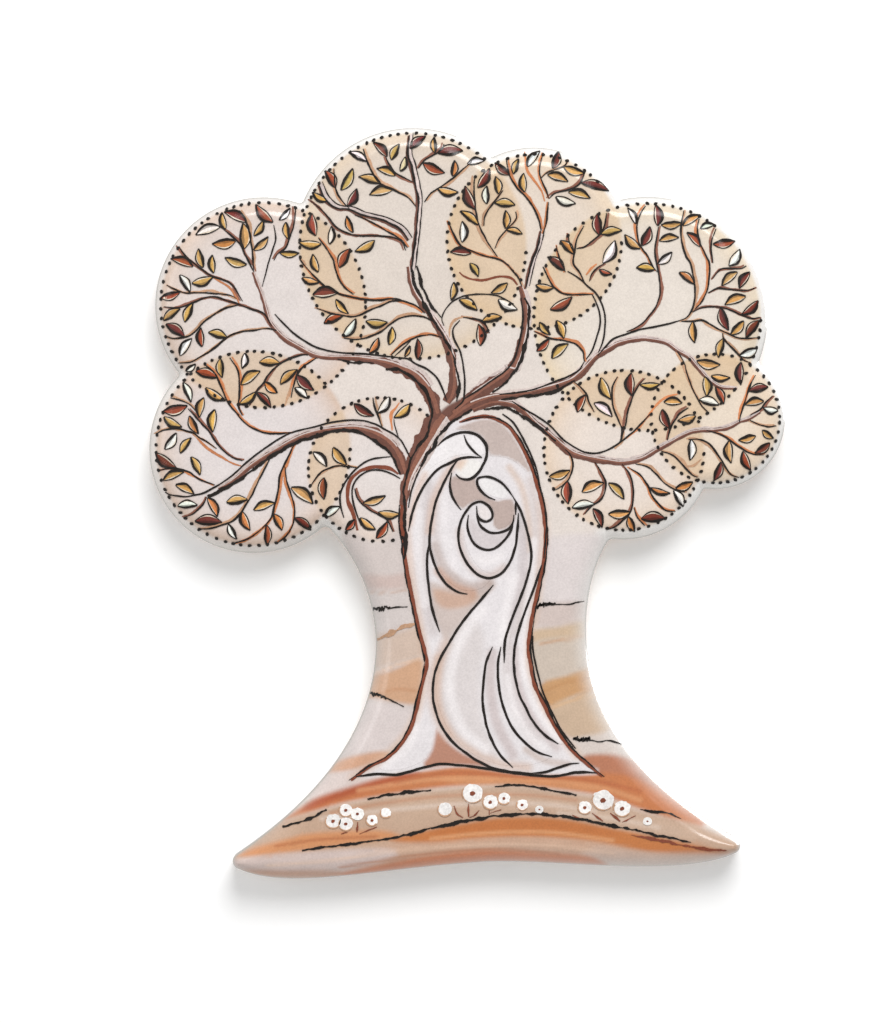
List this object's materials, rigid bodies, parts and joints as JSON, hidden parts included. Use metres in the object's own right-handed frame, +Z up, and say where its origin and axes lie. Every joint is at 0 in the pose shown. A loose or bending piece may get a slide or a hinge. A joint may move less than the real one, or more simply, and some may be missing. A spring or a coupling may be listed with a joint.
{
  "type": "tree of life plaque",
  "caption": "Flat tree-shaped glazed clay plaque: lobed crown, flared trunk and wide foot, a printed leafy tree sheltering a family, magnets let into the back.",
  "frame": {"origin": "on the flat back face, at the middle of the plaque's width and height", "axes": "+Z up the tree, +X to the viewer's right, +Y out of the back; the decorated face looks to -Y"},
  "size_m": [0.0701, 0.0073, 0.0828],
  "materials": {
    "clay": "unglazed, matt",
    "glaze": "white gloss glaze",
    "blush": "fired print, gloss",
    "sand": "fired print, gloss",
    "terracotta": "fired print, gloss",
    "lilac": "fired print, gloss",
    "bark": "fired print, gloss",
    "linen": "fired print, gloss",
    "shade": "fired print, gloss",
    "petal": "fired print, gloss",
    "ferrite": "sintered ferrite, matt",
    "glue": "cured adhesive"
  },
  "bodies": {
    "root": {"clay_body": "clay", "white_glaze": "glaze", "glue_upper": "glue", "magnet_upper": "ferrite", "glue_lower": "glue", "magnet_lower": "ferrite", "print_crown_ground": "blush", "print_far_dunes": "lilac", "print_near_dunes": "sand", "print_meadow": "lilac", "print_sole_earth": "terracotta", "bark_trunk_left": "bark", "bark_trunk_arch": "bark", "bark_bough_lower_left": "bark", "bark_bough_upper_left": "bark", "bark_bough_top_left": "bark", "bark_bough_top_right": "bark", "bark_bough_right": "bark", "bark_bough_lower_right": "bark", "bark_curl_left": "bark", "bark_twig_left": "bark", "bark_twig_top_left": "bark", "bark_twig_top_right": "bark", "bark_twig_right": "bark", "niche_upper": "shade", "niche_lower": "shade", "father_hood": "linen", "father_face": "petal", "mother_face": "petal", "child_head": "petal", "child_wrap": "linen", "father_sleeve": "linen", "father_cloak": "linen", "mother_wrap": "linen", "mother_veil": "linen", "mother_robe": "linen", "flower_left_1": "petal", "flower_left_2": "petal", "flower_left_3": "petal", "flower_left_4": "petal", "flower_left_5": "petal", "flower_middle_1": "petal", "flower_middle_2": "petal", "flower_middle_3": "petal", "flower_middle_4": "petal", "flower_middle_5": "petal", "flower_right_1": "petal", "flower_right_2": "petal", "flower_right_3": "petal"}
  },
  "joints": []
}
